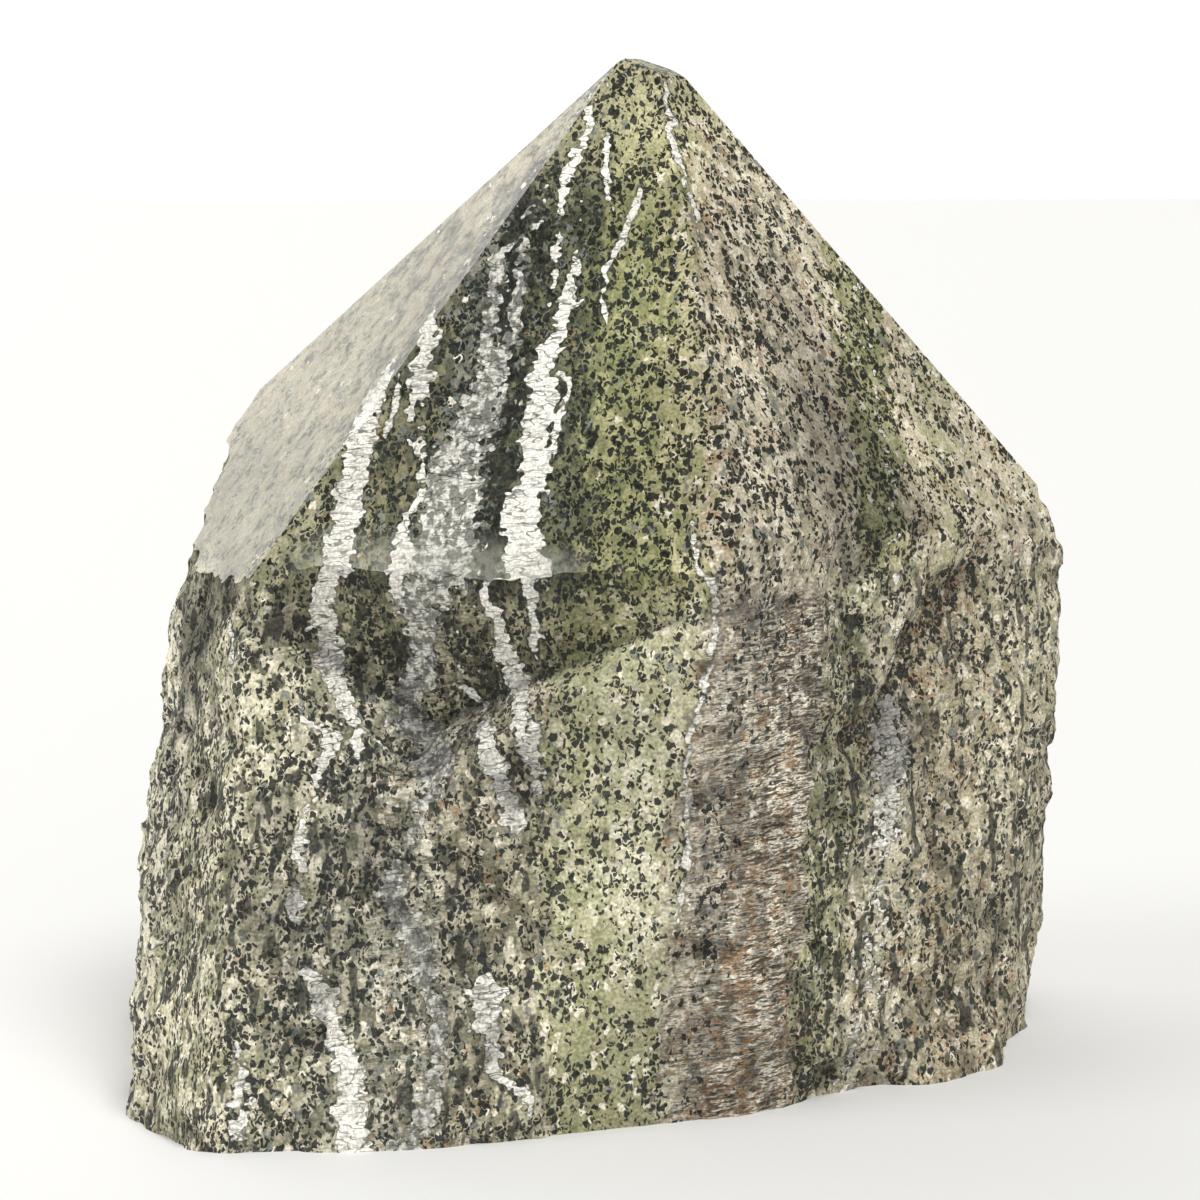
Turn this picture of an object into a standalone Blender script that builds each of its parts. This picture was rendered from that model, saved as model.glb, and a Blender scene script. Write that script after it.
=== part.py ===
"""Green tiger's eye point: one piece of banded stone.

The sides are the fracture faces that the stone broke along, the top is ground and polished to six
flat faces that meet in a worn tip, and the base is sawn flat. Azimuth 0 looks out along -Y, towards
the viewer, and azimuth 90 looks out along +X. A lean is how far a face tips back to look upwards.
"""

import math
from collections import namedtuple

import bmesh
import bpy
from mathutils import Vector, noise

MM = 0.001

Face = namedtuple("Face", "azimuth lean point")

# The polished point. All but the first polished face pass through the sharp tip that the wear has taken off.
SHARP_TIP = Vector((5.2, -0.9, 101.6)) * MM
POLISHED_FACES = (
    Face(-66.6, 39.8, Vector((4.3, -1.3, 102.3)) * MM),
    Face(-15.1, 31.3, SHARP_TIP),
    Face(51.1, 29.4, SHARP_TIP),
    Face(114.0, 41.5, SHARP_TIP),
    Face(168.0, 40.0, SHARP_TIP),
    Face(-128.0, 49.1, SHARP_TIP),
)
TIP_WEAR = Face(60.0, 68.0, SHARP_TIP - Vector((0.0, 0.0, 2.6 * MM)))
EDGE_WEAR = 1.1 * MM

# The crown is the mass under the polish. Its front hangs over the stone below it like a brow.
BROW = Face(-13.4, -17.0, Vector((9.3, -32.9, 52.6)) * MM)
CROWN_FACES = (
    BROW,
    Face(48.0, -3.0, Vector((11.6, -33.8, 55.0)) * MM),
    Face(-95.0, 4.0, Vector((-39.2, 7.1, 55.0)) * MM),
    Face(-60.0, 14.0, Vector((-33.0, -23.1, 50.0)) * MM),
)

# The slab is the flat pale fracture face under the front edge. It breaks off at a slanting ledge.
SLAB_FACES = (
    Face(-6.0, 1.0, Vector((9.6, -32.9, 50.0)) * MM),
    Face(-60.0, 53.5, Vector((10.4, -32.6, 50.0)) * MM),
    Face(22.0, -8.0, Vector((1.3, -31.5, 0.0)) * MM),
    Face(46.0, 1.0, Vector((22.9, -21.7, 0.0)) * MM),
)

# The foot is the flaring mass at the lower left, with a shelf that dips into the shade of the brow.
FOOT_FACES = (
    Face(4.0, 16.0, Vector((-32.2, -38.9, 0.0)) * MM),
    Face(32.0, 40.0, Vector((-16.4, -22.4, 37.0)) * MM),
    Face(22.0, -4.0, Vector((-13.3, -37.0, 0.0)) * MM),
    Face(46.0, 1.0, Vector((22.9, -21.7, 0.0)) * MM),
)

# The sides and the back are shared by all three masses.
SIDE_FACES = (
    Face(76.0, -7.0, Vector((49.6, 9.1, 50.0)) * MM),
    Face(80.0, 33.0, Vector((44.3, 7.8, 56.6)) * MM),
    Face(118.0, 0.0, Vector((42.6, 23.1, 30.0)) * MM),
    Face(171.0, 4.0, Vector((8.6, 34.6, 10.0)) * MM),
    Face(-142.0, 9.0, Vector((-31.4, 28.1, 10.0)) * MM),
)

# Below the crown the left side steps out over a shoulder.
LEFT_FACES = (
    Face(-90.0, 32.0, Vector((-37.4, -6.9, 53.0)) * MM),
    Face(-84.0, 4.5, Vector((-42.9, -5.9, 44.0)) * MM),
    Face(-60.0, 14.0, Vector((-33.0, -23.1, 50.0)) * MM),
)
CORNER_SOFTNESS = 1.2 * MM

# Grooves where the stone tore out: the run of each, its half width and its depth
Groove = namedtuple("Groove", "start end width depth")
GROOVES = (
    Groove(Vector((38.6, -2.9, 48.0)) * MM, Vector((24.6, -17.9, 34.0)) * MM, 3.5 * MM, 2.4 * MM),
    Groove(Vector((23.6, -21.9, 0.0)) * MM, Vector((27.6, -16.9, 0.0)) * MM, 3.0 * MM, 1.2 * MM),
    Groove(Vector((32.3, -13.0, 0.0)) * MM, Vector((36.3, -9.5, 1.0)) * MM, 5.0 * MM, -4.0 * MM),
)

# The blank that is shaped, before the base is sawn and the top is ground
BLANK_RADIUS = 60.0 * MM
BLANK_TOP = 112.0 * MM
BLANK_BOTTOM = -4.0 * MM
BLANK_SEGMENTS = 120
BLANK_ROWS = 46

# Roughness of the broken faces
SWELL_SIZE = 17.0 * MM
SWELL_DEPTH = 1.5 * MM
HACKLE_SIZE = 6.0 * MM
HACKLE_DEPTH = 0.7 * MM
ROUGHNESS_ORIGIN = Vector((3.1, 7.7, 1.9))

MERGE_DISTANCE = 0.05 * MM
STONE_COLOUR = (0.36, 0.37, 0.25, 1.0)
STONE_ROUGHNESS = 0.6


def outward(face):
    """Return the unit normal of a face."""
    azimuth = math.radians(face.azimuth)
    lean = math.radians(face.lean)
    return Vector((math.sin(azimuth) * math.cos(lean), -math.cos(azimuth) * math.cos(lean), math.sin(lean)))


def reach_to_face(face, direction, height):
    """Return how far a level ray from the stone's axis goes before it meets a face."""
    normal = outward(face)
    slope = normal.dot(direction)
    if slope < 0.08:
        return BLANK_RADIUS
    return (normal.dot(face.point) - normal.z * height) / slope


def soft_least(values, softness):
    """Return the least value, rounded where two values are close, as a worn corner is."""
    least = min(values)
    total = sum(math.exp((least - value) / softness) for value in values)
    return least - softness * math.log(total)


def mass_reach(faces, direction, height):
    """Return the reach of one mass of the stone."""
    reaches = [reach_to_face(face, direction, height) for face in faces + SIDE_FACES]
    return soft_least([min(reach, BLANK_RADIUS) for reach in reaches], CORNER_SOFTNESS)


def distance_to_run(spot, groove):
    """Return the distance from a point to the run of a groove."""
    run = groove.end - groove.start
    along = max(0.0, min(1.0, (spot - groove.start).dot(run) / run.length_squared))
    return (spot - groove.start - along * run).length


def stone_reach(direction, height):
    """Return the distance from the axis to the broken surface."""
    masses = (CROWN_FACES, SLAB_FACES + LEFT_FACES, FOOT_FACES + LEFT_FACES)
    reach = max(mass_reach(faces, direction, height) for faces in masses)
    spot = direction * reach + Vector((0.0, 0.0, height))
    for groove in GROOVES:
        reach -= groove.depth * math.exp(-((distance_to_run(spot, groove) / groove.width) ** 2))
    reach += SWELL_DEPTH * noise.noise(spot / SWELL_SIZE + ROUGHNESS_ORIGIN)
    reach += HACKLE_DEPTH * noise.noise(spot / HACKLE_SIZE + ROUGHNESS_ORIGIN)
    return reach


def make_blank():
    """Return a closed upright drum with rows of points round its wall."""
    drum = bmesh.new()
    foot = drum.verts.new((BLANK_RADIUS, 0.0, BLANK_BOTTOM))
    profile = [foot]
    edges = []
    row_height = (BLANK_TOP - BLANK_BOTTOM) / BLANK_ROWS
    for row in range(1, BLANK_ROWS + 1):
        profile.append(drum.verts.new((BLANK_RADIUS, 0.0, BLANK_BOTTOM + row * row_height)))
        edges.append(drum.edges.new(profile[-2:]))
    bmesh.ops.spin(
        drum,
        geom=profile + edges,
        cent=(0.0, 0.0, 0.0),
        axis=(0.0, 0.0, 1.0),
        angle=math.tau,
        steps=BLANK_SEGMENTS,
        use_merge=True,
    )
    bmesh.ops.holes_fill(drum, edges=drum.edges[:], sides=0)
    bmesh.ops.recalc_face_normals(drum, faces=drum.faces[:])
    return drum


def break_sides(stone):
    """Move the wall of the blank in to the broken surface."""
    for vertex in stone.verts:
        direction = Vector((vertex.co.x, vertex.co.y, 0.0)).normalized()
        reach = stone_reach(direction, vertex.co.z)
        vertex.co.x = direction.x * reach
        vertex.co.y = direction.y * reach


def cut_flat(stone, point, normal):
    """Take off everything outside a plane and close the cut with one flat face."""
    cut = bmesh.ops.bisect_plane(
        stone,
        geom=stone.verts[:] + stone.edges[:] + stone.faces[:],
        dist=MERGE_DISTANCE,
        plane_co=point,
        plane_no=normal,
        clear_outer=True,
    )
    rim = [item for item in cut["geom_cut"] if isinstance(item, bmesh.types.BMEdge)]
    bmesh.ops.contextual_create(stone, geom=rim)


def polished_edges(stone):
    """Return the edges between two ground faces of the point."""
    normals = [outward(face) for face in POLISHED_FACES + (TIP_WEAR,)]

    def is_ground(surface):
        return any(surface.normal.dot(normal) > 0.9999 for normal in normals) and surface.calc_area() > MM * MM

    return [
        edge
        for edge in stone.edges
        if len(edge.link_faces) == 2 and all(is_ground(surface) for surface in edge.link_faces)
    ]


def centre_on_base(stone):
    """Move the stone sideways so that its bounding box is centred over the origin."""
    across = [vertex.co.x for vertex in stone.verts]
    along = [vertex.co.y for vertex in stone.verts]
    offset = Vector((min(across) + max(across), min(along) + max(along), 0.0)) / -2.0
    bmesh.ops.translate(stone, vec=offset, verts=stone.verts[:])


def make_stone():
    """Return the finished stone, its base centred on the origin."""
    stone = make_blank()
    break_sides(stone)
    cut_flat(stone, Vector((0.0, 0.0, 0.0)), Vector((0.0, 0.0, -1.0)))
    for face in POLISHED_FACES + (TIP_WEAR,):
        cut_flat(stone, face.point, outward(face))
    stone.normal_update()
    bmesh.ops.bevel(
        stone,
        geom=polished_edges(stone),
        offset=EDGE_WEAR,
        offset_type="OFFSET",
        segments=2,
        profile=0.5,
        affect="EDGES",
        clamp_overlap=True,
        material=-1,
    )
    bmesh.ops.remove_doubles(stone, verts=stone.verts[:], dist=MERGE_DISTANCE)
    bmesh.ops.triangulate(stone, faces=stone.faces[:])
    bmesh.ops.recalc_face_normals(stone, faces=stone.faces[:])
    centre_on_base(stone)
    return stone


def stone_material():
    """Return the stone's plain green-grey material."""
    material = bpy.data.materials.new("banded_stone")
    material.use_nodes = True
    material.diffuse_color = STONE_COLOUR
    shader = material.node_tree.nodes["Principled BSDF"]
    shader.inputs["Base Color"].default_value = STONE_COLOUR
    shader.inputs["Roughness"].default_value = STONE_ROUGHNESS
    shader.inputs["Metallic"].default_value = 0.0
    return material


def clear_scene():
    """Remove whatever the scene holds."""
    for item in list(bpy.data.objects):
        bpy.data.objects.remove(item, do_unlink=True)


def main():
    """Build the stone in its own collection."""
    clear_scene()
    parts = bpy.data.collections.new("green_tigers_eye_point")
    bpy.context.scene.collection.children.link(parts)
    mesh = bpy.data.meshes.new("stone")
    stone = make_stone()
    stone.to_mesh(mesh)
    stone.free()
    mesh.materials.append(stone_material())
    item = bpy.data.objects.new("stone", mesh)
    parts.objects.link(item)


main()
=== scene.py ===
"""Green tiger's eye point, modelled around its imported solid.

One piece of banded stone with broken sides, a polished faceted top and a sawn base. The fine mesh
repeats the solid's form and adds the relief of the broken stone. One procedural finish carries its
veins, bands, specks and polish. Sizes are in millimetres unless a name ends in _m, and azimuth 0
looks out along -Y, towards the viewer.
"""

import logging
import math
from dataclasses import dataclass, field
from enum import Enum
from functools import reduce
from typing import Iterable, Sequence, Union

import bmesh
import bpy
import numpy as np
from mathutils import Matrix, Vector, noise


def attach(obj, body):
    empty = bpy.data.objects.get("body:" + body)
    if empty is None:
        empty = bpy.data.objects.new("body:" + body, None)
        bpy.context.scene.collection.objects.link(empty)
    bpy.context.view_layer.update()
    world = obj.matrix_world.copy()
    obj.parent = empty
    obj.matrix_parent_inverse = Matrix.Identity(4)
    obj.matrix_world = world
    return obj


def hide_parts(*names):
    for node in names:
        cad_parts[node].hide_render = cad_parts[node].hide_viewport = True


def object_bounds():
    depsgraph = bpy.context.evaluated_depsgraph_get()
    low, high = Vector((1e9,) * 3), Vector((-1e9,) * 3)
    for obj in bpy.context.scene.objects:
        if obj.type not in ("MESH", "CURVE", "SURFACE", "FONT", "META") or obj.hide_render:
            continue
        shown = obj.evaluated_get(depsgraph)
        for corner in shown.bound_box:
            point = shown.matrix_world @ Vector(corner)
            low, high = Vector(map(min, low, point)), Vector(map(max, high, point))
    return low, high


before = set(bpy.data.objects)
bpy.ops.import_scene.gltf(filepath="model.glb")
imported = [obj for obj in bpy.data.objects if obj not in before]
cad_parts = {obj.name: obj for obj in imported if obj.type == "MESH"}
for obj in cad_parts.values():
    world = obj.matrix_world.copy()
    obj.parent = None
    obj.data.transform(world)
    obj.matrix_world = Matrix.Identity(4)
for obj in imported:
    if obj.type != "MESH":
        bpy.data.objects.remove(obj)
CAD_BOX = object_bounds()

LOG = logging.getLogger("stone_point")
METRES = 0.001
PER_METRE = 1000.0
# Points nearer than this are one point, in millimetres
MERGE = 0.01
# Cosine above which two faces look the same way
SAME_WAY = 0.99999
# Fixes how the flakes tip, which would otherwise follow the clock
FLAKE_SEED = 1

Socket = bpy.types.NodeSocket
Value = Union[float, Sequence[float], Socket]
Triple = tuple[float, float, float]
Colour = tuple[float, float, float]
Tone = tuple[int, int, int]


class Surface(Enum):
    """What made a patch of the stone's surface."""

    BROKEN = 0
    SAWN = 1
    GROUND = 2


def colour(red: int, green: int, blue: int) -> Colour:
    """Turn a given colour into the linear values that shaders use.

    Args:
        red: Red, 0 to 255.
        green: Green, 0 to 255.
        blue: Blue, 0 to 255.

    Returns:
        The linear red, green and blue.
    """

    def linear(level: int) -> float:
        """Return one channel's linear value."""
        part = level / 255.0
        return part / 12.92 if part <= 0.04045 else ((part + 0.055) / 1.055) ** 2.4

    return (linear(red), linear(green), linear(blue))


@dataclass(frozen=True)
class Facet:
    """A flat face of the stone: the way it looks out, how far it tips back, and a point on it."""

    azimuth: float
    lean: float
    point: Triple

    @property
    def normal(self) -> Vector:
        """The unit vector that points out of the face."""
        azimuth = math.radians(self.azimuth)
        lean = math.radians(self.lean)
        return Vector(
            (math.sin(azimuth) * math.cos(lean), -math.cos(azimuth) * math.cos(lean), math.sin(lean))
        )


@dataclass(frozen=True)
class Groove:
    """A hollow torn out along a straight run, or a swelling where its depth is negative."""

    start: Triple
    end: Triple
    width: float
    depth: float


@dataclass(frozen=True)
class Chips:
    """Small flat flakes, each tipped its own way, that a fracture leaves."""

    size: Triple
    tilt: float
    step: float
    origin: Triple
    lean_stir: float = 7.3
    step_stir: float = 5.1

    def height_at(self, spot: Vector) -> float:
        """Return how far the flake under a point stands out.

        Args:
            spot: A point of the surface.

        Returns:
            The height in millimetres, about zero on average.
        """
        place = Vector([value / size + shift for value, size, shift in zip(spot, self.size, self.origin)])
        middle = noise.voronoi(place)[1][0]
        lean = noise.noise_vector(middle * self.lean_stir)
        offset = noise.noise(middle * self.step_stir)
        return self.tilt * lean.dot(place - middle) + self.step * offset


SHARP_TIP = (5.2, -0.9, 101.6)
FRONT_FACET = Facet(-15.1, 31.3, SHARP_TIP)


@dataclass
class BrokenForm:
    """The broken body: a distance out from the stone's upright axis for every direction and height."""

    radius: float = 60.0
    corner: float = 1.2
    seam: float = 0.35
    least_slope: float = 0.08
    crown: tuple[Facet, ...] = (
        Facet(-13.4, -17.0, (9.3, -32.9, 52.6)),
        Facet(48.0, -3.0, (11.6, -33.8, 55.0)),
        Facet(-95.0, 4.0, (-39.2, 7.1, 55.0)),
        Facet(-60.0, 14.0, (-33.0, -23.1, 50.0)),
    )
    slab: tuple[Facet, ...] = (
        Facet(-6.0, 1.0, (9.6, -32.9, 50.0)),
        Facet(-60.0, 53.5, (10.4, -32.6, 50.0)),
        Facet(22.0, -8.0, (1.3, -31.5, 0.0)),
        Facet(46.0, 1.0, (22.9, -21.7, 0.0)),
    )
    foot: tuple[Facet, ...] = (
        Facet(4.0, 16.0, (-32.2, -38.9, 0.0)),
        Facet(32.0, 40.0, (-16.4, -22.4, 37.0)),
        Facet(22.0, -4.0, (-13.3, -37.0, 0.0)),
        Facet(46.0, 1.0, (22.9, -21.7, 0.0)),
    )
    sides: tuple[Facet, ...] = (
        Facet(76.0, -7.0, (49.6, 9.1, 50.0)),
        Facet(80.0, 33.0, (44.3, 7.8, 56.6)),
        Facet(118.0, 0.0, (42.6, 23.1, 30.0)),
        Facet(171.0, 4.0, (8.6, 34.6, 10.0)),
        Facet(-142.0, 9.0, (-31.4, 28.1, 10.0)),
    )
    left: tuple[Facet, ...] = (
        Facet(-90.0, 32.0, (-37.4, -6.9, 53.0)),
        Facet(-84.0, 4.5, (-42.9, -5.9, 44.0)),
        Facet(-60.0, 14.0, (-33.0, -23.1, 50.0)),
    )
    grooves: tuple[Groove, ...] = (
        Groove((38.6, -2.9, 48.0), (24.6, -17.9, 34.0), 3.5, 2.4),
        Groove((23.6, -21.9, 0.0), (27.6, -16.9, 0.0), 3.0, 1.2),
        Groove((32.3, -13.0, 0.0), (36.3, -9.5, 1.0), 5.0, -4.0),
    )
    swell_size: float = 17.0
    swell_depth: float = 1.5
    hackle_size: float = 6.0
    hackle_depth: float = 0.7
    origin: Triple = (3.1, 7.7, 1.9)

    def mass_reach(self, faces: Iterable[Facet], aim: np.ndarray, heights: np.ndarray) -> np.ndarray:
        """Return the reach of one mass, rounded where two of its faces meet.

        Args:
            faces: The faces that bound the mass.
            aim: Unit directions, one row each.
            heights: Heights above the base.

        Returns:
            An array of reaches, heights by directions.
        """
        reaches = []
        for face in faces:
            normal = np.array(face.normal)
            slope = aim @ normal[:2]
            room = normal @ np.array(face.point) - normal[2] * heights
            reach = room[:, None] / np.maximum(slope, self.least_slope)[None, :]
            reach = np.where(slope[None, :] < self.least_slope, self.radius, reach)
            reaches.append(np.minimum(reach, self.radius))
        stack = np.stack(reaches)
        least = stack.min(axis=0)
        return least - self.corner * np.log(np.exp((least - stack) / self.corner).sum(axis=0))

    def reach(self, aim: np.ndarray, heights: np.ndarray) -> tuple[np.ndarray, np.ndarray, np.ndarray]:
        """Return the distance from the axis to the broken surface before its fine relief.

        Args:
            aim: Unit directions, one row each.
            heights: Heights above the base.

        Returns:
            Three arrays, heights by directions: the reach, the share of the crown in it, and the
            closeness of the recess, which carries a rust stain and painted shade.
        """
        masses = np.stack(
            [
                self.mass_reach(faces + self.sides, aim, heights)
                for faces in (self.crown, self.slab + self.left, self.foot + self.left)
            ]
        )
        most = masses.max(axis=0)
        shares = np.exp((masses - most) / self.seam)
        reach = most + self.seam * np.log(shares.sum(axis=0))
        crown = shares[0] / shares.sum(axis=0)
        spots = np.empty(reach.shape + (3,))
        spots[..., :2] = reach[..., None] * aim[None, :, :]
        spots[..., 2] = heights[:, None]
        stain_and_shade = np.zeros_like(reach)
        for groove in self.grooves:
            start, run = np.array(groove.start), np.array(groove.end) - np.array(groove.start)
            along = np.clip(((spots - start) @ run) / (run @ run), 0.0, 1.0)
            gap = np.linalg.norm(spots - start - along[..., None] * run, axis=-1)
            closeness = np.exp(-((gap / groove.width) ** 2))
            reach = reach - groove.depth * closeness
            if groove is self.grooves[0]:
                stain_and_shade = closeness
        return reach, crown, stain_and_shade

    def waves(self, spot: Vector) -> float:
        """Return the slow swell and the hackle of the fracture at a point.

        Args:
            spot: A point of the smooth form.

        Returns:
            The height in millimetres.
        """
        origin = Vector(self.origin)
        swell = self.swell_depth * noise.noise(spot / self.swell_size + origin)
        return swell + self.hackle_depth * noise.noise(spot / self.hackle_size + origin)


@dataclass
class BandFan:
    """The band coordinate: bands are layers that fan out from the back of the stone to its front."""

    front: float = -33.0
    softness: float = 60.0
    shift: float = 0.08
    spread: float = -0.008
    slope: float = 0.12
    brow: float = 50.0
    # The bands that lean under the brow: where their lean starts and is full, and where it fades out
    lean_start: tuple[float, float] = (0.0, 8.0)
    lean_end: tuple[float, float] = (24.0, 34.0)

    def band(self, x: float, y: float, z: float) -> float:
        """Return the band coordinate of a point.

        Args:
            x: Distance to the right.
            y: Distance back.
            z: Height.

        Returns:
            The band coordinate in millimetres.
        """
        depth = self.softness * math.tanh((y - self.front) / self.softness)
        band = (x - self.shift * depth) / (1.0 + self.spread * depth)
        (start, full), (fade, end) = self.lean_start, self.lean_end
        rise = min(max((band - start) / (full - start), 0.0), 1.0)
        fall = 1.0 - min(max((band - fade) / (end - fade), 0.0), 1.0)
        return band + self.slope * max(0.0, self.brow - z) * rise * fall


@dataclass
class StonePoint:
    """The stone: its fine mesh and its finish."""

    form: BrokenForm = field(default_factory=BrokenForm)
    fan: BandFan = field(default_factory=BandFan)
    facets: tuple[Facet, ...] = (
        Facet(-66.6, 39.8, (4.3, -1.3, 102.3)),
        FRONT_FACET,
        Facet(51.1, 29.4, SHARP_TIP),
        Facet(114.0, 41.5, SHARP_TIP),
        Facet(168.0, 40.0, SHARP_TIP),
        Facet(-128.0, 49.1, SHARP_TIP),
    )
    tip_wear: Facet = Facet(60.0, 68.0, (5.2, -0.9, 99.0))
    edge_wear: float = 1.1
    wear_steps: int = 4
    segments: int = 640
    row: float = 0.43
    bottom: float = -1.0
    row_top: float = 68.0
    top: float = 112.0
    inset: float = 0.03
    smoothing: float = 0.4
    blocks: Chips = Chips((9.0, 9.0, 7.5), 1.3, 0.7, (7.9, 3.3, 5.1))
    flakes: Chips = Chips((3.4, 3.4, 3.0), 0.95, 0.6, (5.3, 1.1, 3.7))
    splinters: Chips = Chips((4.5, 4.5, 1.3), 0.55, 0.4, (2.3, 4.1, 8.7))
    grains: Chips = Chips((1.6, 1.6, 1.6), 0.34, 0.3, (9.2, 6.1, 2.7))
    # The calm slab in front and the fibrous bands: the middle band and the half width of each
    slab_top: float = 48.0
    slab: tuple[float, float] = (2.5, 9.0)
    fibrous: tuple[float, float] = (17.0, 8.0)
    brow_bands: tuple[float, float] = (-32.0, 10.0)
    calming: float = 0.85
    pit_size: float = 2.7
    pit_level: float = 0.12
    pit_depth: float = 0.8
    pit_origin: Triple = (4.4, 9.1, 7.3)
    sink: float = 0.25

    def relief(self, spot: Vector, crown: float) -> float:
        """Return the fine relief of the broken stone at a point, which only takes stone away.

        Args:
            spot: A point of the broken surface.
            crown: How far the point belongs to the smooth brow under the facets.

        Returns:
            How far the surface stands out, in millimetres.
        """
        band = self.fan.band(*spot)
        front = spot.y < 0.0
        slab, fibrous = (
            max(0.0, 1.0 - abs(band - middle) / half) for middle, half in (self.slab, self.fibrous)
        )
        slab = slab if front and spot.z < self.slab_top else 0.0
        brow = crown if front and self.brow_bands[0] < band < self.brow_bands[1] else 0.0
        calm = 1.0 - self.calming * max(min(1.0, 2.0 * slab), brow)
        height = self.grains.height_at(spot) * (0.5 + 0.5 * calm)
        height += self.flakes.height_at(spot) * calm * (1.0 - 0.7 * fibrous)
        height += self.blocks.height_at(spot) * calm * (1.0 - 0.5 * fibrous)
        height += self.splinters.height_at(spot) * fibrous
        pits = noise.noise(spot / self.pit_size + Vector(self.pit_origin))
        height -= self.pit_depth * calm * max(0.0, pits - self.pit_level)
        return height - self.sink

    def blank(self) -> bmesh.types.BMesh:
        """Return a closed upright drum with fine rows of points round its wall."""
        drum = bmesh.new()
        count = round((self.row_top - self.bottom) / self.row)
        levels = [self.bottom + self.row * step for step in range(count + 1)] + [self.top]
        profile = [drum.verts.new((self.form.radius, 0.0, level)) for level in levels]
        edges = [drum.edges.new(pair) for pair in zip(profile, profile[1:])]
        bmesh.ops.spin(
            drum,
            geom=profile + edges,
            cent=(0.0, 0.0, 0.0),
            axis=(0.0, 0.0, 1.0),
            angle=math.tau,
            steps=self.segments,
            use_merge=True,
        )
        bmesh.ops.holes_fill(drum, edges=drum.edges[:], sides=0)
        bmesh.ops.recalc_face_normals(drum, faces=drum.faces[:])
        return drum

    def break_sides(self, stone: bmesh.types.BMesh) -> None:
        """Move the wall of the blank in to the broken surface.

        Args:
            stone: The blank.
        """
        turns = np.arange(self.segments) * math.tau / self.segments
        aim = np.stack([np.cos(turns), np.sin(turns)], axis=1)
        heights = sorted({round(vertex.co.z, 4) for vertex in stone.verts})
        rows = {height: index for index, height in enumerate(heights)}
        reach, crown, stain_and_shade = self.form.reach(aim, np.array(heights))
        hollow, under, stained_and_shaded = (
            stone.verts.layers.float.new(name) for name in ("hollow", "crown", "stain_and_shade")
        )
        for vertex in stone.verts:
            turn = math.atan2(vertex.co.y, vertex.co.x) % math.tau
            column = round(turn * self.segments / math.tau) % self.segments
            out = Vector((aim[column][0], aim[column][1], 0.0))
            height = vertex.co.z
            row = rows[round(height, 4)]
            distance = float(reach[row, column])
            vertex[under] = float(crown[row, column])
            vertex[stained_and_shaded] = float(stain_and_shade[row, column])
            spot = out * distance + Vector((0.0, 0.0, height))
            distance += self.form.waves(spot)
            if height < self.row_top + 1.0:
                detail = self.relief(out * distance + Vector((0.0, 0.0, height)), vertex[under])
                vertex[hollow] = max(0.0, -detail)
                distance += detail
            vertex.co = out * distance + Vector((0.0, 0.0, height))

    def cut_flat(self, stone: bmesh.types.BMesh, point: Vector, normal: Vector, made: Surface) -> None:
        """Take off everything outside a plane and close the cut with one flat face.

        Args:
            stone: The stone.
            point: A point on the plane.
            normal: The way the new face looks.
            made: What made the new face.
        """
        kind = stone.faces.layers.int["kind"]
        cut = bmesh.ops.bisect_plane(
            stone,
            geom=stone.verts[:] + stone.edges[:] + stone.faces[:],
            dist=MERGE,
            plane_co=point,
            plane_no=normal,
            clear_outer=True,
        )
        rim = [item for item in cut["geom_cut"] if isinstance(item, bmesh.types.BMEdge)]
        for face in bmesh.ops.contextual_create(stone, geom=rim)["faces"]:
            face[kind] = made.value

    def wear_edges(self, stone: bmesh.types.BMesh) -> None:
        """Round the edges between the ground facets.

        Args:
            stone: The stone with its facets cut.
        """
        kind = stone.faces.layers.int["kind"]
        edges = [
            edge
            for edge in stone.edges
            if len(edge.link_faces) == 2
            and all(face[kind] == Surface.GROUND.value for face in edge.link_faces)
        ]
        worn = bmesh.ops.bevel(
            stone,
            geom=edges,
            offset=self.edge_wear,
            offset_type="OFFSET",
            segments=self.wear_steps,
            profile=0.5,
            affect="EDGES",
            clamp_overlap=True,
            material=-1,
        )
        for face in worn["faces"]:
            face[kind] = Surface.GROUND.value

    def fit_box(self, stone: bmesh.types.BMesh) -> None:
        """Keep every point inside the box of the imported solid.

        Args:
            stone: The stone in millimetres.
        """
        low = [value * PER_METRE + self.inset for value in CAD_BOX[0]]
        high = [value * PER_METRE - self.inset for value in CAD_BOX[1]]
        low[2] = -math.inf
        for vertex in stone.verts:
            vertex.co = [min(max(value, least), most) for value, least, most in zip(vertex.co, low, high)]

    def build(self) -> bpy.types.Object:
        """Return the finished stone, dressed and riding on its body."""
        noise.seed_set(FLAKE_SEED)
        stone = self.blank()
        stone.faces.layers.int.new("kind")
        self.break_sides(stone)
        wall = [vertex for vertex in stone.verts if self.bottom < vertex.co.z < self.row_top]
        bmesh.ops.smooth_vert(
            stone, verts=wall, factor=self.smoothing, use_axis_x=True, use_axis_y=True, use_axis_z=True
        )
        self.cut_flat(stone, Vector((0.0, 0.0, 0.0)), Vector((0.0, 0.0, -1.0)), Surface.SAWN)
        for facet in self.facets + (self.tip_wear,):
            self.cut_flat(stone, Vector(facet.point), facet.normal, Surface.GROUND)
        stone.normal_update()
        self.wear_edges(stone)
        stone.normal_update()
        bmesh.ops.remove_doubles(stone, verts=stone.verts[:], dist=MERGE)
        bmesh.ops.triangulate(stone, faces=[face for face in stone.faces if len(face.verts) > 4])
        self.fit_box(stone)
        bmesh.ops.recalc_face_normals(stone, faces=stone.faces[:])
        return self.dress(stone)

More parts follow.
